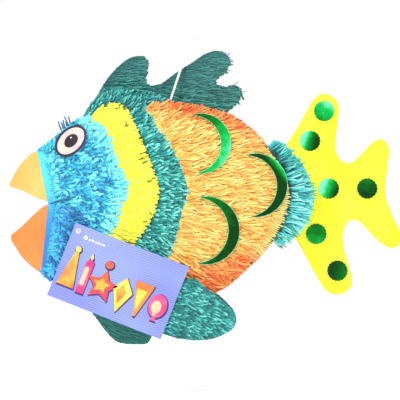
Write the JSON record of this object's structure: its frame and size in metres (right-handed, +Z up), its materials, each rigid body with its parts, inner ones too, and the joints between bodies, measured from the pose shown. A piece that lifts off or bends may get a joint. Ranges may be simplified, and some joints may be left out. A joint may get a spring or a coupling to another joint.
{
  "type": "fish pinata",
  "caption": "Hollow card fish covered in tissue fringe, with fins, beak and tail, a hanging loop, a filling flap in its back panel and a swinging tag.",
  "frame": {"origin": "the underside of the top of the hanging loop, where a hook bears", "axes": "+X from the mouth to the tail, +Y from the front panel with the tag to the back panel with the filling flap, +Z up as it hangs"},
  "size_m": [0.5, 0.1238, 0.3947],
  "materials": {
    "board": "corrugated board, matt",
    "plate": "hardboard, smooth",
    "cord": "twisted cotton, matt",
    "tissue_blue": "crepe tissue, matt",
    "tissue_yellow": "crepe tissue, matt",
    "tissue_teal": "crepe tissue, matt",
    "tissue_orange": "crepe tissue, matt",
    "fin_card": "card covered with tissue, matt",
    "tail_card": "card covered with tissue, matt",
    "beak_card_upper": "smooth card, satin",
    "beak_card_lower": "smooth card, satin",
    "foil": "metallic foil on paper, glossy",
    "eye": "printed card, satin",
    "tag": "printed card, satin",
    "barb": "moulded, translucent white"
  },
  "bodies": {
    "shell": {"front_panel": "board", "back_panel": "board", "nose_wall": "board", "forehead_wall": "board", "dorsal_wall": "board", "tail_wall": "board", "belly_wall": "board", "chin_wall": "board", "hanger_plate": "plate", "hanging_loop": "cord", "loop_knots": "cord", "dorsal_fin": "fin_card", "dorsal_fringe_front": "tissue_teal", "dorsal_fringe_back": "tissue_teal", "pelvic_fin": "fin_card", "pelvic_fringe_front": "tissue_teal", "pelvic_fringe_back": "tissue_teal", "pectoral_fin_front": "fin_card", "pectoral_fin_back": "fin_card", "pectoral_fringe_front": "tissue_teal", "pectoral_fringe_back": "tissue_teal", "tail_fin": "tail_card", "tail_tissue_front": "tissue_yellow", "tail_tissue_back": "tissue_yellow", "nose_tissue": "tissue_blue", "upper_beak": "beak_card_upper", "lower_beak": "beak_card_lower", "face_fringe_front": "tissue_blue", "face_fringe_back": "tissue_blue", "yellow_fringe_front": "tissue_yellow", "yellow_fringe_back": "tissue_yellow", "teal_fringe_front": "tissue_teal", "teal_fringe_back": "tissue_teal", "orange_fringe_front": "tissue_orange", "orange_fringe_back": "tissue_orange", "rim_fringe_blue": "tissue_blue", "rim_fringe_yellow": "tissue_yellow", "rim_fringe_teal": "tissue_teal", "rim_fringe_orange": "tissue_orange", "tail_ruff_front": "tissue_teal", "tail_ruff_back": "tissue_teal", "tail_ruff_rim": "tissue_teal", "eye_front": "eye", "eye_back": "eye", "foil_scale_front_1": "foil", "foil_scale_front_2": "foil", "foil_scale_front_3": "foil", "foil_scale_back_1": "foil", "foil_scale_back_2": "foil", "tail_dots_front": "foil", "tail_dots_back": "foil", "tag_pin": "barb"},
    "fill_flap": {"fill_flap": "board", "flap_fringe": "tissue_orange"},
    "tag": {"tag_card": "tag"}
  },
  "joints": [
    {"name": "flap_hinge", "type": "hinge", "parent": "shell", "child": "fill_flap", "pos_m": [0.0285, 0.048, -0.202], "axis": [1, 0, 0], "range_deg": [0, 100]},
    {"name": "tag_swing", "type": "hinge", "parent": "shell", "child": "tag", "pos_m": [-0.1475, -0.0619, -0.2465], "axis": [0, 1, 0], "range_deg": [-20, 40]}
  ]
}
